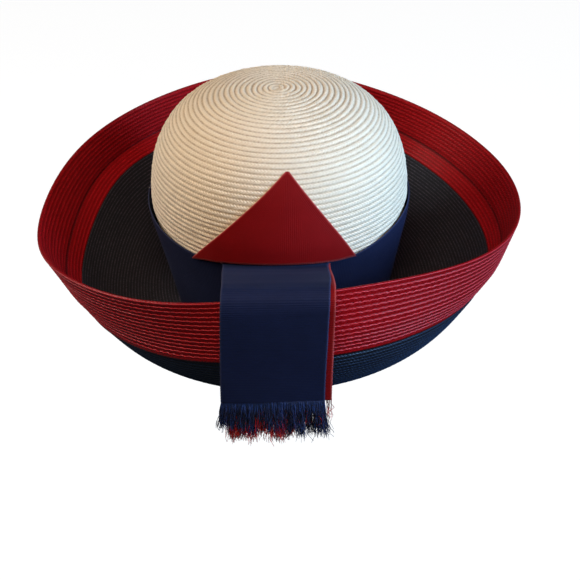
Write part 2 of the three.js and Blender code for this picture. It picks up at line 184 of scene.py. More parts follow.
# Fringes: fullness has places across a tail from its -X edge, and how full the fringe is there
NAVY_FRINGE = dict(count=1700, lengths=(19.0, 26.5), seed=21,
                   fullness=((0.0, 0.05, 0.30, 0.36, 0.42, 0.58, 0.64, 1.0),
                             (0.85, 0.62, 0.62, 0.9, 0.55, 0.55, 1.0, 1.0)))
RED_FRINGE = dict(count=1000, lengths=(26.0, 29.0), seed=22,
                  fullness=((0.0, 0.30, 0.36, 0.42, 0.60, 0.66, 0.92, 0.95, 1.0),
                            (1.0, 1.0, 0.3, 1.0, 1.0, 0.1, 0.1, 0.02, 0.0)))
FRINGE_STEPS, FRINGE_TRIES, FRINGE_KEEP, FRINGE_KEEP_LEAST = 9, 4, 3, 0.1
FRINGE_OVERLAP, FRINGE_SHORTEST, FRINGE_GATHER = 1.0, 0.55, 0.3
FRINGE_CLUMPS, CLUMP_WOBBLE, CLUMP_WOBBLE_TURN = 34, 0.35, 60
# Leans and curls for each mm of length, of a clump and of a single thread
CLUMP_LEAN, CLUMP_LEAN_DEEP = 0.14, 0.06
THREAD_LEAN, THREAD_LEAN_DEEP, THREAD_FORWARD, THREAD_SPLAY = 0.06, 0.09, -0.03, 0.06
LEAN_POWER, LEAN_SHORTENS, THREAD_CURL, THREAD_CURL_TURNS = 1.4, 0.12, 0.075, (0.5, 1.6)
# Unevenness of lengths: of clumps, and the mean and spread of single threads
CLUMP_UNEVEN, THREAD_UNEVEN, THREAD_UNEVEN_SPREAD = 0.6, 0.2, 0.22
THREAD_RADII, THREAD_TAPER, THREAD_WEAVE = (0.17, 0.28), 0.4, 0.25

# Tacks of the band's top edge: angles and slants in degrees, and sizes
TACK_ANGLES = (-117.0, -95.0, -150.0, 178.0, 138.0, 100.0)
TACK_SLANTS = (2.2, -0.6, 1.4, -1.2, 0.8, 1.5)
TACK_BELOW, TACK_RISE, TACK_OVER_BAND, TACK_OVER_CROWN = 1.4, 4.2, 1.4, 1.0
TACK_ARCH, TACK_RADIUS, TACK_STEPS = 0.5, 0.2, 7

# Looks: linear colours
# A straw's groove colour, here and below, is painted shade in the grooves between its rows
IVORY = dict(light=(0.92, 0.87, 0.76), dark=(0.76, 0.66, 0.52), groove_shade=(0.36, 0.27, 0.17))
# The red straw's edge colour is a painted pink highlight on each row's edge thread; its crest colour is
# painted glints on the inner crests
RED_STRAW = dict(light=(0.36, 0.001, 0.004), dark=(0.22, 0.0005, 0.002), groove_shade=(0.04, 0.0, 0.001),
                 edge=(0.60, 0.06, 0.09), crest_glint=(0.55, 0.01, 0.02))
# The navy straw's edge colour is a painted blue sheen on each row's edge thread; its crest colour is painted
# glints on the inner crests
NAVY_STRAW = dict(light=(0.012, 0.012, 0.018), dark=(0.005, 0.005, 0.008), groove_shade=(0.001, 0.001, 0.001),
                  edge=(0.010, 0.026, 0.075), crest_glint=(0.090, 0.075, 0.110))
# A ribbon's edge colour is a painted highlight along its edges
NAVY_RIBBON = dict(light=(0.007, 0.0125, 0.050), dark=(0.0025, 0.005, 0.023), edge=(0.04, 0.05, 0.12))
RED_RIBBON = dict(light=(0.22, 0.002, 0.004), dark=(0.14, 0.001, 0.002), edge=(0.55, 0.10, 0.10))
NAVY_YARN = dict(light=(0.010, 0.022, 0.095), dark=(0.001, 0.002, 0.010), root=(0.02, 0.06, 0.24),
                 tip=(0.03, 0.06, 0.20))
# The red yarn's root colour is painted shade on the upper part of its threads, among the navy threads in
# front
RED_YARN = dict(light=(0.66, 0.016, 0.018), dark=(0.34, 0.004, 0.006), root=(0.07, 0.001, 0.003),
                tip=(0.60, 0.16, 0.15))
TACK_COLOUR = (0.72, 0.68, 0.60)
# Scales of patterns: along a row, across it and from row to row, or across and along a ribbon
STRAW_FLECKS, STRAW_FIBRES, STRAW_PATCHES = (3.0, 1.6, 53.0), (9.0, 1.5, 1.0), (0.35, 1.0, 37.0)
RIBBON_THREADS, RIBBON_PATCHES = (2.6, 0.5, 1.0), (0.09, 0.09, 1.0)
STRAND_LEAN, TACK_TWIST = 0.45, 40.0
# Places across a row where the painted highlight on its edge thread, and the painted glints on the crest of
# its inner face, start and end
EDGE_THREAD_HIGHLIGHT, CREST_GLINT = ((0.79, 0.87), (0.92, 0.98)), ((0.3, 0.5), (0.55, 0.75))

# Camera, from the photograph's perspective
IMAGE_SIZE = 580
FOCAL_PIXELS = 1128.2
SENSOR = 36.0
CAMERA_DISTANCE = 831.3
CAMERA_ELEVATION, CAMERA_AZIMUTH, CAMERA_ROLL = np.radians([33.28, 0.46, -0.62])
CAMERA_TARGET = np.array([5.07, 0.0, -14.05])
FLOOR_LEVEL = -260.0

# Stage and lights, in metres and watts
STAGE_HALF, STAGE_HEIGHT = 9.0, 9.0
STAGE_FLOOR_WHITE, STAGE_FLOOR_GLOW, STAGE_WALL_GLOW = 0.15, 0.93, 1.0
SKY_COLOUR, SKY_STRENGTH = (0.82, 0.91, 1.0), 0.06
# Columns: name, place, size, power, colour
LIGHTS = (
    ("window_right", (1.25, -0.48, 0.53), 0.9, 32.0, (0.46, 0.71, 0.98)),
    ("lamp_front", (-0.14, -0.80, 1.24), 0.9, 12.5, (1.0, 0.70, 0.43)),
    ("lamp_left", (-1.34, 0.22, 0.66), 0.8, 11.2, (1.0, 0.90, 0.79)),
)


def mix(a, b, t):
    return a + (b - a) * t


def smooth(low, high, x):
    t = np.clip((x - low) / (high - low), 0, 1)
    return t * t * (3 - 2 * t)


def unit(vectors):
    return vectors / np.maximum(np.linalg.norm(vectors, axis=-1, keepdims=True), 1e-9)


def stacked(*parts):
    return np.stack(np.broadcast_arrays(*parts), -1)


# Form

def oval(share, up):
    """Half sizes and centre of the crown's oval at a height, narrowed to a share."""
    low = np.clip(up / SHOULDER_UP, None, 1)
    half_width = share * mix(BASE_HALF_WIDTH, SHOULDER_HALF_WIDTH, low)
    half_depth = share * mix(BASE_HALF_DEPTH, SHOULDER_HALF_DEPTH, low)
    lean = np.maximum(low, 0)
    return half_width, half_depth, CROWN_SHIFT_X * lean, CROWN_SHIFT_Y * lean


def crown_share(up):
    rise = np.clip((up - SHOULDER_UP) / (CROWN_UP - SHOULDER_UP), 0, 1)
    return (1 - rise ** RISE_EXPONENT) ** (1 / ROUND_EXPONENT)


def on_oval(angle, share, up, stand_out=0.0):
    half_width, half_depth, x, y = oval(share, up)
    across = x + (half_width + stand_out) * np.sin(angle)
    painted_shade = y - (half_depth + stand_out) * np.cos(angle)
    return stacked(across, painted_shade, up)


def on_crown(angle, up, stand_out=0.0):
    """A point at an angle and height on the crown, or standing out from it."""
    return on_oval(angle, crown_share(up), up, stand_out)


def crown_meridian():
    """Tables from the tip to the foot: the row, the oval's share there, and the height."""
    turn = np.linspace(np.pi / 2, 0, DOME_SAMPLES)
    wall = np.linspace(SHOULDER_UP, -STRAW_WALL / 2, CROWN_WALL_SAMPLES)[1:]
    share = np.append(np.cos(turn) ** (2 / ROUND_EXPONENT), np.ones_like(wall))
    up = np.append(mix(SHOULDER_UP, CROWN_UP, np.sin(turn) ** (2 / RISE_EXPONENT)), wall)
    radius = share * (SHOULDER_HALF_WIDTH + SHOULDER_HALF_DEPTH) / 2
    steps = np.hypot(np.diff(radius), np.diff(up))
    pitch = np.interp(np.cumsum(steps), CROWN_PITCH_AT, CROWN_PITCH)
    row = np.append(0, np.cumsum(steps / pitch))
    return CROWN_ROWS * row / row[-1], share, up


MERIDIAN_ROW, MERIDIAN_SHARE, MERIDIAN_UP = crown_meridian()


def on_crown_row(angle, row):
    """A point on the crown at an angle, a number of rows from its tip."""
    share = np.interp(row, MERIDIAN_ROW, MERIDIAN_SHARE)
    return on_oval(angle, share, np.interp(row, MERIDIAN_ROW, MERIDIAN_UP))


def crown_row_normal(angle, row):
    step = 0.02
    around = on_crown_row(angle + step, row) - on_crown_row(angle - step, row)
    down = on_crown_row(angle, row + step) - on_crown_row(angle, np.maximum(row - step, 0))
    normal = np.cross(down, around)
    flat = np.linalg.norm(normal, axis=-1, keepdims=True) < 1e-4
    return np.where(flat, (0.0, 0.0, 1.0), unit(normal))


def brim_value(column, angle):
    """A column of the brim's sections at any angle, by the smoothest wave through them."""
    count = len(column)
    total = np.zeros_like(angle)
    for k, value in enumerate(column):
        turn = angle - TURN * k / count
        half = np.sin(turn / 2)
        near = np.abs(half) < 1e-9
        wave = np.sin(count * turn / 2) * np.cos(turn / 2) / (count * np.where(near, 1, half))
        total = total + value * np.where(near, 1, wave)
    return total


def out_and_up(angle, out, up):
    return stacked(out * np.sin(angle), -out * np.cos(angle), up)


def floor_turn(angle):
    """Where the floor's curve starts, where it turns up, and where it ends, in out and up."""
    rise = GAP + STRAW_WALL * np.sin(np.radians(-FLOOR_SLOPE))
    inner = 1 / np.hypot(np.sin(angle) / (BASE_HALF_WIDTH + rise), np.cos(angle) / (BASE_HALF_DEPTH + rise))
    out, up = brim_value(BORDER_OUT, angle), brim_value(BORDER_RISE, angle)
    reach = (out - inner) * brim_value(FLOOR_REACH, angle)
    return inner, inner + reach, reach * np.tan(np.radians(FLOOR_SLOPE)), out, up


def floor_end_slope(angle):
    _, turn_out, turn_up, out, up = floor_turn(angle)
    return np.arctan2(up - turn_up, out - turn_out)


def round_seam(angle, away, out, up):
    """Points at a distance from the seam of floor and border, moved out where it would be hollow."""
    shoulder = np.radians(brim_value(SHOULDER_SLOPE, angle))
    hollow = np.maximum(floor_end_slope(angle) - shoulder, 0) * smooth(*SEAM_ROUND_FADE, np.cos(angle))
    move = SEAM_ROUND * hollow * np.exp(-(away / SEAM_ROUND_WIDTH) ** 2)
    return out + move * np.sin(shoulder), up - move * np.cos(shoulder)


def floor_surface(angle, rows, _side=1):
    """The middle of the navy floor: rows run from the head opening to the border."""
    inner, turn_out, turn_up, out, up = floor_turn(angle)
    t = np.linspace(FLOOR_CURVE_FROM, 1, FLOOR_CURVE_SAMPLES)[:, None]
    curve_out = inner * (1 - t) ** 2 + 2 * t * (1 - t) * turn_out + out * t ** 2
    curve_up = 2 * t * (1 - t) * turn_up + up * t ** 2
    steps = np.hypot(np.diff(curve_out, axis=0), np.diff(curve_up, axis=0))
    outs, ups, away = np.empty(rows.shape), np.empty(rows.shape), np.empty(rows.shape)
    for i in range(len(angle)):
        arc = np.append(0, np.cumsum(steps[:, i]))
        start = np.interp(0, t[:, 0], arc)
        at = (arc - start) / (arc[-1] - start) * FLOOR_ROWS
        outs[:, i] = np.interp(rows[:, i], at, curve_out[:, i])
        ups[:, i] = np.interp(rows[:, i], at, curve_up[:, i])
        away[:, i] = (1 - rows[:, i] / FLOOR_ROWS) * (arc[-1] - start)
    return out_and_up(angle, *round_seam(angle, away, outs, ups))


def border_lap(angle):
    ends = smooth(LAP_FROM, LAP_FROM + LAP_EASE, angle), smooth(LAP_TO - LAP_EASE, LAP_TO, angle)
    return LAP * ends[0] * (1 - ends[1])


def border_surface(angle, rows, side):
    """The middle of the red border: a shoulder, a crease that is sharp inside only, and a wall."""
    lap = border_lap(angle)
    rows = rows - lap * np.clip(1 - rows / SHOULDER_ROWS, 0, 1)
    past = rows - SHOULDER_ROWS
    softness = CREASE_SOFT_OUTSIDE if side > 0 else CREASE_SOFT_INSIDE
    wall = (past + np.sqrt(past ** 2 + softness)) / 2
    along_wall = wall * WALL_LENGTH / WALL_ROWS
    along_shoulder = (rows - wall) * SHOULDER_LENGTH / SHOULDER_ROWS
    shoulder = np.radians(brim_value(SHOULDER_SLOPE, angle))
    steep = np.radians(brim_value(WALL_SLOPE, angle))
    out = brim_value(BORDER_OUT, angle) + along_shoulder * np.cos(shoulder) + along_wall * np.cos(steep)
    up = brim_value(BORDER_RISE, angle) + along_shoulder * np.sin(shoulder) + along_wall * np.sin(steep)
    out, up = round_seam(angle, rows * SHOULDER_LENGTH / SHOULDER_ROWS, out, up)
    lapped = floor_surface(angle, FLOOR_ROWS + LAP_SCALE * np.minimum(rows, 0))
    middle = np.where((rows < 0)[..., None], lapped, out_and_up(angle, out, up))
    over = LAP_EDGE_LIFT * smooth(0.0, LAP_EDGE_ROWS, -rows)
    over = over + LAP_LIFT * lap / LAP * (1 - smooth(*LAP_FADE, rows))
    return middle + out_and_up(angle, over * np.sin(shoulder), -over * np.cos(shoulder))


def band_top(angle):
    side = np.sin(angle)
    return BAND_FRONT_TOP + BAND_TILT * side + BAND_SIDE_RISE * side ** 2


def band_stand_off(angle):
    """How far the band's top edge stands away from the crown, most on the -X side towards the back."""
    side = np.sin(angle + BAND_STAND_OFF_SHIFT)
    loose = BAND_LOOSE * np.exp(-((angle % TURN - BAND_LOOSE_AT) / BAND_LOOSE_WIDTH) ** 2)
    return (BAND_STAND_OFF - BAND_STAND_OFF_TURN * side) * np.abs(side) ** BAND_STAND_OFF_POWER + loose


def fall_back(x):
    """How far the crown's front falls back at a distance to the side of its middle."""
    side = np.clip((x - CROWN_SHIFT_X) / SHOULDER_HALF_WIDTH, -1, 1)
    return SHOULDER_HALF_DEPTH * (1 - np.sqrt(1 - side ** 2))


def on_tail(x, hug, out, up):
    back = hug * fall_back(x)
    return stacked(x, back - out, up - SIDE_DROP * back)


def smooth_path(knots, per_span):
    """A centripetal Catmull-Rom curve through the knots. Its last column is the share passed."""
    ends = np.vstack([2 * knots[0] - knots[1], knots, 2 * knots[-1] - knots[-2]])
    gaps = np.sqrt(np.linalg.norm(np.diff(ends, axis=0), axis=1))
    t = np.linspace(0, 1, per_span, endpoint=False)[:, None]
    curve = []
    for k in range(len(knots) - 1):
        a, b, c, d = ends[k:k + 4]
        before, here, after = gaps[k:k + 3]
        leave = ((b - a) / before - (c - a) / (before + here) + (c - b) / here) * here
        arrive = ((c - b) / here - (d - b) / (here + after) + (d - c) / after) * here
        curve.append(b + leave * t + (3 * (c - b) - 2 * leave - arrive) * t ** 2
                     + (2 * (b - c) + leave + arrive) * t ** 3)
    points = np.vstack(curve + [knots[-1:]])
    return np.column_stack([points, np.linspace(0, 1, len(points))])


def evenly(curve, step):
    """The curve at even steps of its length in out and up, with those lengths."""
    arc = np.append(0, np.cumsum(np.hypot(*np.diff(curve[:, 1:3], axis=0).T)))
    at = np.linspace(0, arc[-1], int(round(arc[-1] / step)) + 1)
    return [np.interp(at, arc, column)[:, None] for column in curve.T], at


def across_crown(along):
    return on_crown(along / SHOULDER_HALF_WIDTH, SHOULDER_UP)[..., 0]


def on_point(along, up, lift):
    """A point of the folded ribbon on the crown, which stands out over the band and the tails."""
    beside = np.abs(across_crown(along) - NAVY_TAIL["start_centre"]) - NAVY_TAIL["start_width"] / 2
    over_tails = 1 - smooth(POINT_LIFT_MARGIN, POINT_LIFT_MARGIN + POINT_LIFT_WIDTH, beside)
    fade = 1 - smooth(TAIL_PATH[0, 2], POINT_LIFT_TOP, up)
    stand_out = fade * mix(POINT_OVER_BAND, POINT_OVER_TAILS, over_tails)
    over_straw = (1 - fade) * (CROWN_PROUD - GAP)
    half_width = crown_share(up) * SHOULDER_HALF_WIDTH
    return on_crown(along / half_width, up, stand_out + over_straw + GAP + lift)


# Meshes

def turned(faces, flip):
    return faces[:, ::-1] if flip else faces


class Shell:
    """Points in millimetres and patches of quads, with pattern coordinates at each corner."""

    def __init__(self):
        self.points, self.quads, self.marks, self.charts = [], [], [], []
        self.count = 0

    def add_points(self, points):
        flat = points.reshape(-1, 3)
        index = np.arange(self.count, self.count + len(flat)).reshape(points.shape[:-1])
        self.points.append(flat)
        self.count += len(flat)
        return index

    def add_patch(self, index, low, high, window, flip=False):
        """low and high are the marks at the near and far corners of each row of quads."""
        rows, columns = index.shape
        u = np.linspace(window[0], window[2], columns)[None, :]
        v = np.linspace(window[1], window[3], rows)[:, None]
        chart = stacked(u, v)
        low, high = (np.broadcast_to(m, (rows - 1, columns, 3)) for m in (low, high))
        grids = (index[:-1], index[1:]), (low, high), (chart[:-1], chart[1:])
        for kept, (near, far) in zip((self.quads, self.marks, self.charts), grids):
            corners = np.stack([near[:, :-1], near[:, 1:], far[:, 1:], far[:, :-1]], 2)
            kept.append(turned(corners.reshape(-1, *corners.shape[2:]), flip))

    def add_triangles(self, triangles, mark, place, flip=False):
        faces = turned(np.asarray(triangles), flip)
        self.quads.append(np.column_stack([faces, faces[:, -1:]]))
        self.marks.append(np.broadcast_to(mark, (len(faces), 4, 3)))
        self.charts.append(np.broadcast_to(place, (len(faces), 4, 2)))

    def make(self, name, material):
        """The shell as an object. A quad with two corners at one point becomes a triangle."""
        quads = np.concatenate(self.quads)
        keep = quads != np.roll(quads, -1, axis=1)
        sizes = keep.sum(1)
        whole = sizes >= 3
        keep &= whole[:, None]
        starts = np.append(0, np.cumsum(sizes[whole]))[:-1]
        mesh = bpy.data.meshes.new(name)
        points = np.concatenate(self.points) * MM
        mesh.vertices.add(len(points))
        mesh.vertices.foreach_set("co", points.ravel())
        mesh.loops.add(int(keep.sum()))
        mesh.loops.foreach_set("vertex_index", quads[keep].astype(np.int32))
        mesh.polygons.add(len(starts))
        mesh.polygons.foreach_set("loop_start", starts.astype(np.int32))
        mesh.update(calc_edges=True)
        mesh.validate()
        braid = mesh.attributes.new("braid", "FLOAT_VECTOR", "CORNER")
        braid.data.foreach_set("vector", np.concatenate(self.marks)[keep].ravel())
        chart = mesh.uv_layers.new(name="OFBake")
        chart.uv.foreach_set("vector", np.concatenate(self.charts)[keep].ravel())
        mesh.shade_smooth()
        mesh.materials.append(material)
        thing = bpy.data.objects.new(name, mesh)
        bpy.context.scene.collection.objects.link(thing)
        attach(thing, "root")
        return thing


def closed(index):
    """An index grid with its first column repeated at its end."""
    return np.column_stack([index, index[:, :1]])


def grid_normals(points, around):
    """Unit normals, across times along, of a grid that may close round."""
    if around:
        across = np.roll(points, -1, axis=1) - np.roll(points, 1, axis=1)
    else:
        across = np.gradient(points, axis=1)
    return unit(np.cross(across, np.gradient(points, axis=0)))


def ridge(v):
    """The rounded section of a row of braid: 0 in the grooves, 1 on top, steeper at its start."""
    return np.sin(np.pi * np.clip(v, 0, 1) ** RIDGE_LEAN) ** RIDGE_FULL


def row_marks(along, places, tints):
    """Low and high marks of each row of quads: plaits along, place across the row, and a tint."""
    cells = np.arange(len(along))
    step = cells % len(places)
    bounds = np.append(places, 1.0)
    tint = tints[:, None]
    return stacked(along, bounds[step][:, None], tint), stacked(along, bounds[step + 1][:, None], tint)


# Straw pieces

def waves(table, angle, row):
    """The sum of a table's slow waves, which turn from row to row."""
    return sum(size * np.sin(count * angle + turn * row + phase) for size, count, turn, phase in table)


def crown_layer(shell, fine, offset, window, flip, tints):
    """One side of the crown: a strip that winds out from the tip and tapers to a level foot."""
    turns, columns = CROWN_ROWS, CROWN_COLUMNS
    r = np.arange(turns * fine + 1)[:, None]
    i = np.arange(columns)[None, :]
    turn = np.minimum(r // fine, turns - 1)
    within = (r - turn * fine) / fine
    share = i / columns
    row = turn + share + within * np.where(turn == turns - 1, 1 - share, 1)
    angle = np.broadcast_to(TURN * share, row.shape)
    ends = smooth(0, CROWN_TRUE_ROWS, row) * smooth(0, CROWN_TRUE_ROWS, turns - row)
    bent = row + ends * waves(CROWN_WANDER, angle, row)
    points = on_crown_row(angle, bent) + crown_row_normal(angle, bent) * offset(angle, row, within)[..., None]
    index = shell.add_points(points)
    seam = np.append(index[fine:, 0], np.repeat(index[-1, 0], fine))
    grid = np.column_stack([index, seam])
    girth = TURN * np.interp(np.arange(turns + 1), MERIDIAN_ROW, MERIDIAN_SHARE) * SHOULDER_HALF_DEPTH
    length = np.append(0, np.cumsum((girth[1:] + girth[:-1]) / 2)) / PLAIT
    cells = np.arange(turns * fine)[:, None] // fine
    along = np.interp(cells + np.arange(columns + 1)[None, :] / columns, np.arange(turns + 1), length)
    low, high = row_marks(along, np.arange(fine) / fine, np.repeat(tints, fine))
    shell.add_patch(grid, low, high, window, flip)
    tip = index[0, 0]
    fan = [(tip, index[0, k], index[0, k + 1]) for k in range(1, columns - 1)]
    wedge = [(index[0, -1], grid[k + 1, 0], grid[k, 0]) for k in range(fine)]
    shell.add_triangles(fan + wedge, (0.0, 0.5, 0.5), window[:2], not flip)
    return index


def make_crown(material):
    """Ivory braid sewn in a spiral. Its rows lie flat under the band, and stand proud above it."""
    tints = np.random.default_rng(CROWN_TINT_SEED).random(CROWN_ROWS)
    grid = (CROWN_ROWS * CROWN_FINE + 1, CROWN_COLUMNS)
    lift = np.random.default_rng(CROWN_UNEVEN_SEED).normal(0, CROWN_UNEVEN, grid)

    def outside(angle, row, within):
        up = np.interp(row, MERIDIAN_ROW, MERIDIAN_UP)
        free = smooth(band_top(angle) - CROWN_FLAT_BELOW, band_top(angle) + CROWN_FREE_ABOVE, up)
        uneven = waves(CROWN_SWELL, angle, row)
        braid = BRAID_DEPTH * ridge(within) * smooth(0, CROWN_TIP_ROWS, row)
        low = mix(CROWN_UNDER_BAND, CROWN_PROUD - BRAID_DEPTH, free)
        return low + braid + (uneven + lift * ridge(within)) * free

    def inside(angle, row, within):
        braid = BRAID_INSIDE_DEPTH * ridge(within) * smooth(0, CROWN_TIP_ROWS, row)
        return -STRAW_WALL + BRAID_INSIDE_DEPTH - braid

    shell = Shell()
    outer = crown_layer(shell, CROWN_FINE, outside, (0.0, 0.02, 0.49, 1.0), True, tints)
    inner = crown_layer(shell, CROWN_INSIDE_FINE, inside, (0.51, 0.02, 1.0, 1.0), False, tints)
    foot = closed(np.stack([outer[-1], inner[-1]]))
    shell.add_patch(foot, (0.0, 0.1, 0.5), (0.0, 0.1, 0.5), (0.0, 0.0, 1.0, 0.01), True)
    return shell.make("crown_straw", material)


def braided_ring(surface, rows, columns, plaits, seed, sections, edges, crease=None, sink=0.0):
    """A closed shell of concentric rows of braid.

    surface(angle, row, side) is the middle of the wall, plaits the count of each row, and sections are
    those of a row's outer and inner faces. crease is the row that starts with a deep fold in the inner
    face, and sink is how far the outer face dips at its far edge, under the next piece.
    """
    rng = np.random.default_rng(seed)
    angle = TURN * np.arange(columns) / columns
    around = np.arange(columns + 1) / columns
    phases, tints = rng.random(rows), rng.random(rows)
    swell = rng.normal(0, ROW_SWELL, (rows, ROW_SWELL_WAVES))
    (near_heights, near_reach), (far_heights, far_reach) = edges
    shell = Shell()
    faces, lows, highs = [], [], []
    kinds = zip(sections, (SHINGLE_DEPTH, LOW_RIDGE_DEPTH), (1, -1), near_heights, far_heights)
    for section, depth, side, near_height, far_height in kinds:
        fine = len(section)
        r = np.arange(rows * fine + 1)
        owner = np.minimum(r // fine, rows - 1)
        place, height, wavy = np.vstack([section, (1.0, 0.0, 0.0)])[r - owner * fine].T[:, :, None]
        plait = plaits[owner][:, None] * angle / TURN + phases[owner][:, None]
        slow = sum(swell[owner, k][:, None] * np.sin((k + 2) * angle + owner[:, None] * k)
                   for k in range(ROW_SWELL_WAVES))
        free = np.where(owner == rows - 1, RIM_SCALLOP, 1)[:, None]
        bend = SCALLOP * free * wavy * (np.abs(np.sin(np.pi * plait)) - 0.5) + slow
        ends = ((r > 0) & (r < r[-1]))[:, None]
        row = owner[:, None] + place + np.where(ends, bend, 0)
        row[0] -= near_reach
        row[-1] += far_reach
        middle = surface(angle, row, side)
        strand = STRAND_LIFT * free * height * np.cos(TURN * (plait + STRAND_SLANT * place))
        lift = BRIM_PROUD - depth * (1 - height) + strand
        if side > 0:
            lift = lift - sink * smooth(rows - SINK_FROM, rows - SINK_TO, row)
        lift[0], lift[-1] = near_height, far_height
        cells = np.arange(rows * fine) // fine
        shades = tints[cells] + INSIDE * (side < 0)
        if crease and side < 0:
            fold = crease * fine
            lift[fold - 1:fold + 2] = np.reshape(CREASE_HEIGHTS, (3, 1))
            # Rows next to the crease are flagged for a painted shade along it
            shades[fold - fine:fold] += BEFORE_CREASE_SHADE
            shades[fold:fold + fine] += AFTER_CREASE_SHADE
        faces.append(middle + side * grid_normals(middle, True) * lift[..., None])
        along = plaits[cells][:, None] * around + phases[cells][:, None]
        low, high = row_marks(along, section[:, 0], shades)
        lows.append(low if side > 0 else high[::-1])
        highs.append(high if side > 0 else low[::-1])
    loop = shell.add_points(np.concatenate([faces[0], faces[1][::-1]]))
    grid = closed(np.vstack([loop, loop[:1]]))
    edge = np.full((1, columns + 1, 3), 0.5)
    edge[..., 0] = lows[0][-1:, :, 0]
    low = np.concatenate([lows[0], edge, lows[1], edge])
    high = np.concatenate([highs[0], edge, highs[1], edge])
    shell.add_patch(grid, low, high, (0.0, 0.0, 1.0, 1.0))
    return shell


def make_floor(material):
    around = np.linspace(0, TURN, FLOOR_GIRTH_SAMPLES, endpoint=False)
    middles = np.arange(FLOOR_ROWS)[:, None] + 0.5
    rings = floor_surface(around, np.broadcast_to(middles, (FLOOR_ROWS, len(around))))
    girth = np.linalg.norm(np.roll(rings, -1, axis=1) - rings, axis=-1).sum(1)
    plaits = np.round(girth / PLAIT)
    sections = (FINE_SHINGLE, FINE_RIDGE)
    shell = braided_ring(floor_surface, FLOOR_ROWS, FLOOR_COLUMNS, plaits, FLOOR_SEED, sections,
                         FLOOR_EDGES, sink=FLOOR_SINK)
    return shell.make("brim_floor_straw", material)


def make_border(material):
    rows = SHOULDER_ROWS + WALL_ROWS
    plaits = np.full(rows, BORDER_PLAITS)
    sections = (SHINGLE, LOW_RIDGE)
    shell = braided_ring(border_surface, rows, BORDER_COLUMNS, plaits, BORDER_SEED, sections,
                         BORDER_EDGES, crease=SHOULDER_ROWS)
    return shell.make("brim_border_straw", material)


# Ribbon pieces

def edge_thickness(distance):
    """Half a ribbon's thickness at a distance from its rounded edge."""
    near = np.clip(1 - distance / (EDGE_ROUND * RIBBON_THICK), 0, 1)
    return RIBBON_THICK / 2 * np.maximum(np.sqrt(1 - near ** 2), EDGE_THIN)


def edge_shares(columns):
    """Shares across a ribbon, with extra columns close to both edges."""
    near = np.array(EDGE_COLUMNS) * EDGE_MARGIN / RIBBON_WIDTH
    return np.concatenate([near, np.linspace(0, 1, columns)[1:-1], 1 - near[::-1]])


def ribbed(share, rib):
    """Half the thickness, the ribs' relief, and the painted highlight along the edges, at shares across it.
    """
    from_edge = np.minimum(share, 1 - share) * RIBBON_WIDTH
    relief = RIB_DEPTH * rib * smooth(0.0, RIBS_FULL, from_edge + RIBS_START)
    edge_highlight = 1 - smooth(*EDGE_HIGHLIGHT_FADE, from_edge)
    return np.broadcast_to(edge_thickness(from_edge), relief.shape), relief, edge_highlight


def ribbon_shell(middle, half, relief, marks, around=False):
    """A ribbon between two faces, with relief on both, closed at its edges and ends."""
    normals = grid_normals(middle, around)
    shell = Shell()
    front = shell.add_points(middle + normals * (half + relief)[..., None])
    back = shell.add_points(middle - normals * (half - relief)[..., None])
    if around:
        front, back = closed(front), closed(back)
        marks = np.concatenate([marks, marks[:, :1]], axis=1)
    shell.add_patch(front, marks[:-1], marks[1:], (0.0, 0.02, 0.48, 0.98))
    shell.add_patch(back, marks[:-1], marks[1:], (0.52, 0.02, 1.0, 0.98), True)
    for end, flip, v in ((0, True, 0.0), (-1, False, 0.99)):
        rim = marks[end][None]
        shell.add_patch(np.stack([front[end], back[end]]), rim, rim, (0.0, v, 0.48, v + 0.01), flip)
    if not around:
        for side, flip, u in ((0, False, 0.485), (-1, True, 0.505)):
            rim = marks[:, side][None]
            both = np.stack([front[:, side], back[:, side]])
            shell.add_patch(both, rim, rim, (u, 0.0, u + 0.01, 1.0), flip)
    return shell


def make_band(material):
    """A navy ribbon round the crown, with upright ribs and a stiff top edge that stands away at the sides."""
    girth = np.pi * (SHOULDER_HALF_WIDTH + SHOULDER_HALF_DEPTH)
    columns = RIB_SAMPLES * int(girth / RIB)
    angle = TURN * np.arange(columns) / columns
    share = edge_shares(BAND_ROWS)[:, None]
    rib = np.cos(TURN * np.arange(columns) / RIB_SAMPLES)
    beside_tails = sum(lift * np.exp(-((angle - at) / BAND_LIFT_WIDTH) ** 2) for at, lift in BAND_LIFTS)
    up = mix(BAND_FOOT, band_top(angle) + beside_tails, share) + PICOT * rib * (share == 1)
    stand_out = band_stand_off(angle) * share ** 2
    slack = BAND_SLACK * share ** 2 * np.sin(5 * angle + 0.6) * np.sin(2 * angle) ** 2
    middle = on_crown(angle[None, :], up, stand_out + slack + GAP + BAND_OFF_CROWN)
    half, relief, edge_highlight = ribbed(share, rib)
    marks = stacked(angle * girth / TURN, share * RIBBON_WIDTH, edge_highlight)
    return ribbon_shell(middle, half, relief, marks, True).make("band_ribbon", material)


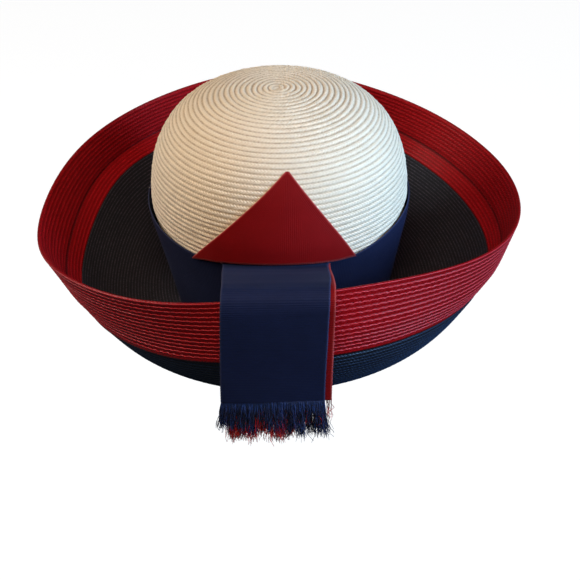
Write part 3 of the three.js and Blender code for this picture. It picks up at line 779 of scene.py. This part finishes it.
def make_tail(name, tail, material):
    """A ribbon from under the point, over the rim and down the front, with ribs across it."""
    (hug, out, up, passed), arc = evenly(smooth_path(TAIL_PATH, TAIL_SPAN_STEPS), RIB / RIB_SAMPLES)
    aside = tail["swing"] * np.sin(np.pi * arc / arc[-1])[:, None] ** 2
    centre = mix(tail["start_centre"], tail["end_centre"], passed) + aside
    width = mix(tail["start_width"], tail["end_width"], smooth(*TAIL_EASING, passed))
    share = edge_shares(TAIL_COLUMNS)[None, :]
    rib = np.cos(TURN * np.arange(len(arc)) / RIB_SAMPLES)[:, None]
    picot = PICOT * rib * ((share == 1) * 1.0 - (share == 0))
    x = centre + width * (0.5 - share) - picot
    sway = TAIL_SWAY * np.sin(TURN * arc / TAIL_SWAY_LENGTH + 0.5)[:, None] * np.sin(TAIL_SWAY_ACROSS * x)
    sway = sway * smooth(*TAIL_SWAY_GROWS, arc)[:, None]
    flat = on_tail(x, hug, out, up)
    middle = flat + grid_normals(flat, False) * (tail["layer"] * TAIL_STACK + sway)[..., None]
    half, relief, edge_highlight = ribbed(share, rib)
    marks = stacked(share * RIBBON_WIDTH, arc[:, None], edge_highlight)
    return ribbon_shell(middle, half, relief, marks).make(name, material), arc[-1]


def make_point(material):
    """A red ribbon folded to a triangle: one layer in front, and two flaps that meet behind it."""
    bend = np.linspace(-np.pi / 2, np.pi / 2, POINT_FOLD_COLUMNS)[1:-1]
    flat = np.linspace(0, 1, POINT_FRONT_COLUMNS)
    behind = np.linspace(0.5, 0, POINT_BACK_COLUMNS)
    flap, front, back = behind * POINT_FLAP, np.ones_like(flat), -np.ones_like(behind)
    share = np.concatenate([flap, 0 * bend, flat, 1 + 0 * bend, 1 - flap[::-1]])
    past = np.concatenate([0 * behind, -np.cos(bend), 0 * flat, np.cos(bend[::-1]), 0 * behind]) * POINT_FOLD
    lift = np.concatenate([back, np.sin(bend), front, np.sin(bend[::-1]), back]) * POINT_FOLD
    is_front = smooth(0.2, 0.8, lift / POINT_FOLD)
    rise = np.linspace(0, 1, POINT_ROWS)[:, None]
    bow = POINT_BOW * 4 * rise * (1 - rise)
    left = mix(POINT_LEFT, POINT_TIP - POINT_TIP_WIDTH / 2, rise) - bow + 2 * POINT_FOLD
    right = mix(POINT_RIGHT, POINT_TIP + POINT_TIP_WIDTH / 2, rise) + bow - 2 * POINT_FOLD
    along = mix(left, right, share) + past
    drop = mix(POINT_LEFT_DROP, POINT_RIGHT_DROP, share)
    base = POINT_BASE_UP - drop * fall_back(across_crown(mix(POINT_LEFT, POINT_RIGHT, share)))
    rib = np.cos(TURN * along / RIB)
    teeth = POINT_TEETH * rib[:1] * smooth(*POINT_TEETH_GROW, along[:1])
    up = mix(base - teeth * (rise == 0), POINT_TIP_UP, rise)
    middle = on_point(along, up, RIBBON_THICK / 2 + POINT_FOLD + lift)
    half = np.full(up.shape, RIBBON_THICK * POINT_THIN)
    relief = POINT_RIBS * RIB_DEPTH * rib * is_front * smooth(0, POINT_TIP_PLAIN, 1 - rise)
    from_side = np.minimum(along - left, right - along)
    # Painted highlight along the folded sides and the cut base
    edge_highlight = np.maximum(1 - smooth(0.0, POINT_SIDE_HIGHLIGHT, from_side), 1 - smooth(0.0, POINT_BASE_HIGHLIGHT, rise))
    marks = stacked(up - POINT_PATTERN_UP, along, edge_highlight)
    return ribbon_shell(middle, half, relief, marks).make("point_ribbon", material)


# Threads

def tubes(paths, radii, tints, name, material):
    """Thin three-sided tubes along many paths, an array of (thread, step, xyz)."""
    count, steps, _ = paths.shape
    ring = TURN * np.arange(3) / 3
    circle = stacked(np.cos(ring), np.sin(ring), np.zeros(3))
    shell = Shell()
    points = paths[:, :, None, :] + radii[:, :, None, None] * circle
    index = shell.add_points(points)
    for k in range(count):
        grid = closed(index[k])
        marks = stacked(np.linspace(0, 1, steps)[:, None], tints[k], np.zeros((1, 4)))
        window = (k / count, 0.0, (k + 0.9) / count, 1.0)
        shell.add_patch(grid, marks[:-1], marks[1:], window, True)
        shell.add_triangles([index[k, 0], index[k, -1][::-1]], (0.5, tints[k], 0.0), window[:2])
    return shell.make(name, material)


def make_fringe(name, tail, fringe, material):
    """Loose threads below a tail's end, in small clumps that lean and curl together.

    Where the fringe is less full, its threads are fewer and shorter.
    """
    rng = np.random.default_rng(fringe["seed"])
    hug, out, top = TAIL_PATH[-1]
    out = out + tail["layer"] * TAIL_STACK
    tries = FRINGE_TRIES * fringe["count"]
    place = rng.random(tries)
    full = np.interp(place, *fringe["fullness"])
    kept = rng.random(tries) < np.clip(FRINGE_KEEP * full, FRINGE_KEEP_LEAST, 1)
    place = np.sort(place[kept][:fringe["count"]])
    count = len(place)
    full = np.interp(place, *fringe["fullness"])
    x = tail["end_centre"] + tail["end_width"] * (place - 0.5)
    wobble = CLUMP_WOBBLE * np.sin(CLUMP_WOBBLE_TURN * place)
    clump_of = np.floor(place * FRINGE_CLUMPS + wobble).astype(int)
    clumps = clump_of.max() + 1
    gather = (clump_of + 0.5) / clumps - place
    lean_x = rng.uniform(-CLUMP_LEAN, CLUMP_LEAN, clumps)[clump_of] + rng.normal(0, THREAD_LEAN, count)
    lean_x = (lean_x + THREAD_SPLAY * (place - 0.5))[:, None]
    lean_y = rng.normal(0.0, CLUMP_LEAN_DEEP, clumps)[clump_of]
    lean_y = (lean_y + rng.normal(THREAD_FORWARD, THREAD_LEAN_DEEP, count))[:, None]
    uneven = rng.uniform(0, 1, clumps)[clump_of] * CLUMP_UNEVEN
    uneven = uneven + rng.normal(THREAD_UNEVEN, THREAD_UNEVEN_SPREAD, count)
    length = (mix(*fringe["lengths"], np.clip(uneven, 0, 1)) * mix(FRINGE_SHORTEST, 1.0, full))[:, None]
    t = np.linspace(0, 1, FRINGE_STEPS)[None, :]
    curls = []
    for _ in range(2):
        size = rng.normal(0, THREAD_CURL, (count, 1))
        turns = rng.uniform(*THREAD_CURL_TURNS, (count, 1)) * t + rng.random((count, 1))
        curls.append(size * t * np.sin(TURN * turns))
    go_x = length * (lean_x * t ** LEAN_POWER + curls[0])
    go_x = go_x + FRINGE_GATHER * tail["end_width"] * gather[:, None] * t
    go_y = length * (lean_y * t ** LEAN_POWER + curls[1])
    fall = length * t * (1 - LEAN_SHORTENS * np.abs(lean_x))
    start = on_tail(x, hug, out, top + FRINGE_OVERLAP)
    weave = rng.uniform(-THREAD_WEAVE, THREAD_WEAVE, count)
    paths = stacked(start[:, :1] + go_x, start[:, 1:2] + weave[:, None] + go_y, start[:, 2:] - fall)
    radii = rng.uniform(*THREAD_RADII, (count, 1)) * (1 - THREAD_TAPER * t)
    return tubes(paths, radii, rng.random(count), name, material)


def make_tacks(material):
    """Short threads that catch the band's top edge to the crown, a few round the sides and back."""
    angle, slant = np.radians(TACK_ANGLES)[:, None], np.radians(TACK_SLANTS)[:, None]
    t = np.linspace(0, 1, TACK_STEPS)[None, :]
    up = band_top(angle) - TACK_BELOW + TACK_RISE * t
    edge = band_stand_off(angle) + GAP + TACK_OVER_BAND
    over = TACK_ARCH * np.sin(np.pi * t)
    paths = on_crown(angle + slant * t, up, mix(edge, TACK_OVER_CROWN, t) + over)
    radii = np.full(paths.shape[:2], TACK_RADIUS)
    return tubes(paths, radii, np.linspace(0, 1, len(angle)), "band_tacks", material)


# Materials

class Graph:
    """A material's node tree, with short calls to add to it."""

    def __init__(self, name):
        self.material = bpy.data.materials.new(name)
        self.material.use_nodes = True
        self.nodes = self.material.node_tree.nodes
        self.links = self.material.node_tree.links
        self.shader = self.nodes["Principled BSDF"]

    def put(self, socket, value):
        if isinstance(value, bpy.types.NodeSocket):
            self.links.new(value, socket)
        else:
            socket.default_value = value

    def math(self, operation, a, b=0.0, c=0.0, clamp=False):
        node = self.nodes.new("ShaderNodeMath")
        node.operation = operation
        node.use_clamp = clamp
        for socket, value in zip(node.inputs, (a, b, c)):
            self.put(socket, value)
        return node.outputs[0]

    def times(self, a, b, plus=None):
        if plus is None:
            return self.math("MULTIPLY", a, b)
        return self.math("MULTIPLY_ADD", a, b, plus)

    def minus(self, a, b):
        return self.math("SUBTRACT", a, b)

    def noise(self, coordinates, scales, detail=2.0):
        """Noise over three coordinates, each with its own scale."""
        place = self.nodes.new("ShaderNodeCombineXYZ")
        for socket, value, scale in zip(place.inputs, coordinates, scales):
            self.put(socket, self.times(value, scale))
        node = self.nodes.new("ShaderNodeTexNoise")
        self.links.new(place.outputs[0], node.inputs["Vector"])
        node.inputs["Scale"].default_value = 1.0
        node.inputs["Detail"].default_value = detail
        return node.outputs["Fac"]

    def ramp(self, value, low, high, to_low=0.0, to_high=1.0):
        node = self.nodes.new("ShaderNodeMapRange")
        node.interpolation_type = "SMOOTHSTEP"
        self.put(node.inputs["Value"], value)
        for name, number in zip(("From Min", "From Max", "To Min", "To Max"), (low, high, to_low, to_high)):
            node.inputs[name].default_value = number
        return node.outputs["Result"]

    def stripe(self, value, rise, fall):
        return self.minus(self.ramp(value, *rise), self.ramp(value, *fall))

    def blend(self, factor, a, b):
        node = self.nodes.new("ShaderNodeMix")
        node.data_type = "RGBA"
        self.put(node.inputs["Factor"], factor)
        for socket, colour in ((node.inputs["A"], a), (node.inputs["B"], b)):
            self.put(socket, colour if isinstance(colour, bpy.types.NodeSocket) else (*colour, 1.0))
        return node.outputs["Result"]

    def marks(self):
        """The three pattern coordinates of the mesh."""
        node = self.nodes.new("ShaderNodeAttribute")
        node.attribute_name = "braid"
        split = self.nodes.new("ShaderNodeSeparateXYZ")
        self.links.new(node.outputs["Vector"], split.inputs[0])
        return split.outputs

    def bump(self, height, distance):
        node = self.nodes.new("ShaderNodeBump")
        node.inputs["Distance"].default_value = distance * MM
        node.inputs["Strength"].default_value = 1.0
        self.links.new(height, node.inputs["Height"])
        self.links.new(node.outputs["Normal"], self.shader.inputs["Normal"])

    def finish(self, colour, roughness, **constants):
        self.put(self.shader.inputs["Base Color"], colour)
        self.put(self.shader.inputs["Roughness"], roughness)
        for name, value in constants.items():
            self.shader.inputs[name.replace("_", " ")].default_value = value
        return self.material


def straw(name, colours, gloss, groove_shade, rough, shingled, **constants):
    """Plaited straw: slanting strands that meet in the middle of a row, painted shade in the grooves, and
    fine fibres.

    A shingled row has a painted highlight on the thread along its outer edge, and lies nearly flat on its
    inner face, with painted glints on its crests and painted shade along the crease.
    """
    g = Graph(name)
    along, across, tint = g.marks()
    from_middle = g.math("ABSOLUTE", g.times(across, 2.0, -1.0))
    slant = g.times(from_middle, STRAND_LEAN, along)
    strand = g.math("ABSOLUTE", g.math("SINE", g.times(slant, TURN)))
    fleck = g.noise((along, across, tint), STRAW_FLECKS)
    fibre = g.noise((slant, across, tint), STRAW_FIBRES, 3.0)
    patch = g.noise((along, across, tint), STRAW_PATCHES)
    light = g.times(strand, 0.35, g.times(fibre, 0.7, -0.15))
    light = g.times(patch, 0.5, g.minus(light, 0.5))
    light = g.math("MULTIPLY_ADD", fleck, 0.6, light, clamp=True)
    body = g.blend(light, colours["dark"], colours["light"])
    roughness = g.times(fibre, 0.3, gloss)
    if shingled:
        outside = g.math("LESS_THAN", tint, INSIDE - 0.5)
        inside = g.minus(1.0, outside)
        # Painted highlight on each row's edge thread on the outer face: pink on the red straw, a blue sheen
        # on the navy
        thread = g.times(g.stripe(across, *EDGE_THREAD_HIGHLIGHT), outside)
        body = g.blend(g.times(thread, 0.6), body, colours["edge"])
        # Painted glints along the crests of the inner face
        glint_line = g.times(g.stripe(across, *CREST_GLINT), inside)
        body = g.blend(g.times(glint_line, g.ramp(fleck, 0.4, 0.65, 0.25, 0.85)), body, colours["crest_glint"])
        # Painted shade in the grooves: at the steps between rows outside, and faintly along the rows' edges
        # inside
        step_shade = g.math("MAXIMUM", g.ramp(across, 0.0, 0.13, 1.0, 0.0), g.ramp(across, 0.97, 1.0))
        # Painted shade along the crease, on the rows before and after it
        after = g.math("GREATER_THAN", tint, INSIDE + AFTER_CREASE_SHADE - 0.5)
        before = g.minus(g.math("GREATER_THAN", tint, INSIDE + BEFORE_CREASE_SHADE - 0.5), after)
        fold = g.times(after, g.ramp(across, 0.1, 0.7, 1.0, 0.0))
        fold = g.times(before, g.ramp(across, 0.2, 0.9), fold)
        inside_shade = g.math("MAXIMUM", fold, g.ramp(from_middle, 0.55, 1.0, 0.0, 0.5))
        painted_shade = g.times(outside, g.minus(step_shade, inside_shade), inside_shade)
        roughness = g.times(inside, 0.25, roughness)
    else:
        # Painted shade in the grooves between rows
        painted_shade = g.times(g.ramp(from_middle, 0.4, 0.95), g.ramp(fleck, 0.35, 0.65, 0.5, 1.0))
    colour = g.blend(g.times(painted_shade, groove_shade), body, colours["groove_shade"])
    height = g.times(strand, 0.5, g.times(fibre, 0.6))
    g.bump(g.times(fleck, 0.8, height), rough)
    return g.finish(colour, roughness, **constants)


def grosgrain(name, colours, **constants):
    """Ribbed ribbon: fine threads between the ribs, and a painted highlight along its edges."""
    g = Graph(name)
    across, along, edge = g.marks()
    thread = g.noise((across, along, 0.0), RIBBON_THREADS, 3.0)
    patch = g.noise((across, along, 4.0), RIBBON_PATCHES)
    light = g.math("MULTIPLY_ADD", patch, 0.5, g.times(thread, 0.9, -0.2), clamp=True)
    body = g.blend(light, colours["dark"], colours["light"])
    # Painted highlight along the ribbon's edges
    colour = g.blend(g.times(edge, 0.5), body, colours["edge"])
    g.bump(thread, 0.12)
    return g.finish(colour, g.times(thread, 0.2, 0.6), **constants)


def yarn(name, colours, root_end, root_share):
    """Loose threads, each with its own shade, that start in another colour and end paler. On the red threads
    that other colour is painted shade.
    """
    g = Graph(name)
    along, shade, _ = g.marks()
    body = g.blend(shade, colours["dark"], colours["light"])
    body = g.blend(g.ramp(along, root_end - 0.3, root_end, root_share, 0.0), body, colours["root"])
    colour = g.blend(g.ramp(along, 0.7, 1.0, 0.0, 0.2), body, colours["tip"])
    return g.finish(colour, 0.55, Specular_IOR_Level=0.2, Sheen_Weight=0.08, Sheen_Roughness=0.4)


def twisted_thread(name, colour):
    g = Graph(name)
    along = g.marks()[0]
    twist = g.math("ABSOLUTE", g.math("SINE", g.times(along, TACK_TWIST)))
    dark = tuple(0.6 * c for c in colour)
    return g.finish(g.blend(twist, dark, colour), 0.6)


# Stage

def stage_white(albedo, glow):
    g = Graph("stage_white")
    return g.finish((albedo, albedo, albedo, 1.0), 0.9, Specular_IOR_Level=0.0,
                    Emission_Color=(1.0, 1.0, 1.0, 1.0), Emission_Strength=glow)


def stage_sheet(name, corners, faces, material):
    """A pale sheet of the stage that the camera sees and that sends no light onto the hat."""
    mesh = bpy.data.meshes.new(name)
    mesh.from_pydata(corners, [], faces)
    mesh.materials.append(material)
    sheet = bpy.data.objects.new(name, mesh)
    sheet.location.z = FLOOR_LEVEL * MM
    sheet.visible_diffuse = False
    sheet.visible_glossy = False
    bpy.context.scene.collection.objects.link(sheet)
    return sheet


def make_stage():
    half = STAGE_HALF
    square = [(-half, -half), (half, -half), (half, half), (-half, half)]
    ground = [(x, y, 0.0) for x, y in square]
    stage_sheet("stage_floor", ground, [(0, 1, 2, 3)], stage_white(STAGE_FLOOR_WHITE, STAGE_FLOOR_GLOW))
    corners = ground + [(x, y, STAGE_HEIGHT) for x, y in square]
    sides = [(k, (k + 1) % 4, (k + 1) % 4 + 4, k + 4) for k in range(4)]
    walls = stage_sheet("stage_walls", corners, sides, stage_white(0.0, STAGE_WALL_GLOW))
    walls.visible_shadow = False


def put_at(thing, right, up, back, place):
    """Add an object at a place in metres, turned so that its axes are right, up and back."""
    rows = [(right[k], up[k], back[k], place[k]) for k in range(3)]
    thing.matrix_world = Matrix(rows + [(0, 0, 0, 1)])
    bpy.context.scene.collection.objects.link(thing)


def soft_light(name, place, size, power, colour):
    """A round light that faces the hat."""
    lamp = bpy.data.lights.new(name, "AREA")
    lamp.shape = "DISK"
    lamp.size = size
    lamp.energy = power
    lamp.color = colour
    back = unit(np.array(place))
    right = unit(np.cross((0.0, 0.0, 1.0), back))
    put_at(bpy.data.objects.new(name, lamp), right, np.cross(back, right), back, place)


def make_lights():
    world = bpy.data.worlds.new("studio")
    world.use_nodes = True
    background = world.node_tree.nodes["Background"]
    background.inputs["Color"].default_value = (*SKY_COLOUR, 1.0)
    background.inputs["Strength"].default_value = SKY_STRENGTH
    bpy.context.scene.world = world
    for light in LIGHTS:
        soft_light(*light)


def make_camera():
    elevation, azimuth, roll = CAMERA_ELEVATION, CAMERA_AZIMUTH, CAMERA_ROLL
    level = np.cos(elevation)
    place = CAMERA_DISTANCE * np.array([np.sin(azimuth) * level, -np.cos(azimuth) * level, np.sin(elevation)])
    ahead = unit(CAMERA_TARGET - place)
    right = unit(np.cross(ahead, (0.0, 0.0, 1.0)))
    up = np.cross(right, ahead)
    right, up = np.cos(roll) * right + np.sin(roll) * up, np.cos(roll) * up - np.sin(roll) * right
    lens = bpy.data.cameras.new("camera")
    lens.sensor_width = SENSOR
    lens.lens = FOCAL_PIXELS / IMAGE_SIZE * SENSOR
    thing = bpy.data.objects.new("camera", lens)
    put_at(thing, right, up, -ahead, place * MM)
    bpy.context.scene.camera = thing
    bpy.context.scene.view_settings.view_transform = "Standard"


make_camera()
make_lights()
make_stage()

navy_cloth = grosgrain("navy_grosgrain", NAVY_RIBBON, Sheen_Weight=0.05, Sheen_Roughness=0.35,
                       Sheen_Tint=(0.55, 0.65, 1.0, 1.0), Specular_IOR_Level=0.3,
                       Specular_Tint=(0.5, 0.55, 0.8, 1.0))
red_cloth = grosgrain("red_grosgrain", RED_RIBBON, Sheen_Weight=0.05, Sheen_Roughness=0.4,
                      Sheen_Tint=(1.0, 0.7, 0.7, 1.0), Specular_IOR_Level=0.1)
crown = make_crown(straw("ivory_straw_braid", IVORY, gloss=0.38, groove_shade=0.8, rough=0.45, shingled=False,
                         Specular_IOR_Level=0.35))
floor = make_floor(straw("navy_straw_braid", NAVY_STRAW, gloss=0.3, groove_shade=0.75, rough=0.3, shingled=True,
                         Specular_IOR_Level=0.5, Specular_Tint=(0.55, 0.75, 1.0, 1.0)))
border = make_border(straw("red_straw_braid", RED_STRAW, gloss=0.25, groove_shade=0.8, rough=0.3, shingled=True,
                           Specular_IOR_Level=0.4, Specular_Tint=(1.0, 0.35, 0.42, 1.0),
                           Coat_Weight=0.08, Coat_Roughness=0.3))
band = make_band(navy_cloth)
point = make_point(red_cloth)
tail_navy, tail_length = make_tail("tail_navy_ribbon", NAVY_TAIL, navy_cloth)
tail_red, _ = make_tail("tail_red_ribbon", RED_TAIL, red_cloth)
fringe_navy = make_fringe("fringe_navy_threads", NAVY_TAIL, NAVY_FRINGE,
                          yarn("navy_yarn", NAVY_YARN, root_end=0.45, root_share=0.45))
fringe_red = make_fringe("fringe_red_threads", RED_TAIL, RED_FRINGE,
                         yarn("red_yarn", RED_YARN, root_end=0.6, root_share=0.95))
tacks = make_tacks(twisted_thread("tack_thread", TACK_COLOUR))

for thing, node, slot in (
    (crown, "crown", "ivory_straw"),
    (floor, "brim_floor", "navy_straw"),
    (border, "brim_border", "red_straw"),
    (band, "crown_band", "navy_ribbon"),
    (point, "ribbon_point", "red_ribbon"),
    (tail_navy, "tail_navy", "navy_ribbon"),
    (tail_red, "tail_red", "red_ribbon"),
    (fringe_navy, "fringe_navy", "navy_ribbon"),
    (fringe_red, "fringe_red", "red_ribbon"),
):
    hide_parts(node)
